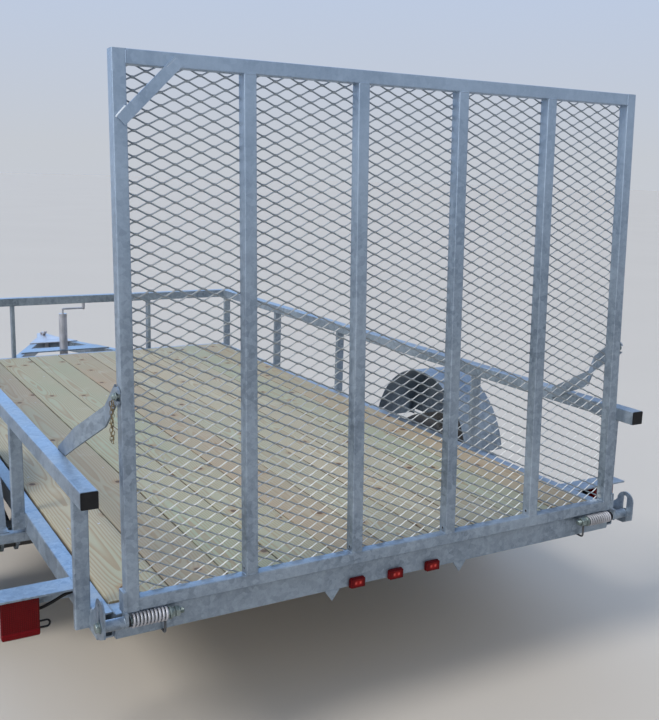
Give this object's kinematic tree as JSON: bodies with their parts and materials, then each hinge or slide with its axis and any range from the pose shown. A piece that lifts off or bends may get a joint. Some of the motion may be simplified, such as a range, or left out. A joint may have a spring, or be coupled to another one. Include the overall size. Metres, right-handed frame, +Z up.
{
  "type": "utility_trailer",
  "caption": "Open utility trailer on one axle with a plank deck, tube side rails, round fenders and a tall folding mesh ramp gate.",
  "frame": {"origin": "on the ground, midway between the sides and midway between the hinge plates' rear edge and the coupler's nose", "axes": "+Y forward to the coupler, +X to the right seen from behind, +Z up"},
  "size_m": [2.5918, 5.1143, 2.1281],
  "materials": {
    "galvanized_steel": "hot-dip galvanized, light blue-grey, faintly spangled",
    "zinc_plate": "zinc plated, smooth",
    "dark_steel": "dark grey, matt",
    "pine": "pressure-treated pine, pale yellow-green, dry",
    "black_plastic": "moulded black",
    "red_lens": "moulded red lens",
    "tyre_rubber": "black rubber, matt"
  },
  "bodies": {
    "chassis": {"side_frame_left": "galvanized_steel", "side_frame_right": "galvanized_steel", "rear_sill": "galvanized_steel", "front_member": "galvanized_steel", "cross_members": "galvanized_steel", "tongue_left": "galvanized_steel", "tongue_right": "galvanized_steel", "coupler": "zinc_plate", "jack_tube": "zinc_plate", "jack_crank": "zinc_plate", "jack_plate": "galvanized_steel", "rail_left": "galvanized_steel", "rail_right": "galvanized_steel", "rail_front": "galvanized_steel", "posts": "galvanized_steel", "fender_left": "galvanized_steel", "fender_right": "galvanized_steel", "fender_bars": "galvanized_steel", "axle": "dark_steel", "leaf_springs": "dark_steel", "spring_hangers": "galvanized_steel", "axle_clamps": "galvanized_steel", "lamp_arms": "galvanized_steel", "sill_tabs": "galvanized_steel", "hinge_plates": "galvanized_steel", "gate_springs": "zinc_plate", "latch_arms": "galvanized_steel", "deck_boards": "pine", "rail_caps": "black_plastic", "tail_lamp_lenses": "red_lens", "tail_lamp_backs": "black_plastic", "id_lamps": "red_lens", "lamp_leads": "black_plastic"},
    "gate": {"gate_stiles": "galvanized_steel", "gate_rails": "galvanized_steel", "gate_uprights": "galvanized_steel", "gate_mesh_rising": "galvanized_steel", "gate_mesh_falling": "galvanized_steel", "gate_corner_bar": "galvanized_steel", "gate_lugs": "galvanized_steel", "hinge_rods": "galvanized_steel", "hinge_sleeves": "galvanized_steel", "latch_pins": "galvanized_steel"},
    "wheel_left": {"tyre_left": "tyre_rubber", "rim_left": "galvanized_steel", "hub_left": "zinc_plate"},
    "wheel_right": {"tyre_right": "tyre_rubber", "rim_right": "galvanized_steel", "hub_right": "zinc_plate"},
    "jack_leg": {"jack_leg": "zinc_plate"}
  },
  "joints": [
    {"name": "gate_hinge", "type": "hinge", "parent": "chassis", "child": "gate", "pos_m": [0, -2.5192, 0.58], "axis": [1, 0, 0], "range_deg": [0, 113.5]},
    {"name": "wheel_left_spin", "type": "hinge", "parent": "chassis", "child": "wheel_left", "pos_m": [-1.18, -1.0892, 0.305], "axis": [1, 0, 0], "continuous": true},
    {"name": "wheel_right_spin", "type": "hinge", "parent": "chassis", "child": "wheel_right", "pos_m": [1.18, -1.0892, 0.305], "axis": [1, 0, 0], "continuous": true},
    {"name": "jack_slide", "type": "slide", "parent": "chassis", "child": "jack_leg", "axis": [0, 0, 1], "range_m": [0, 0.25]}
  ]
}
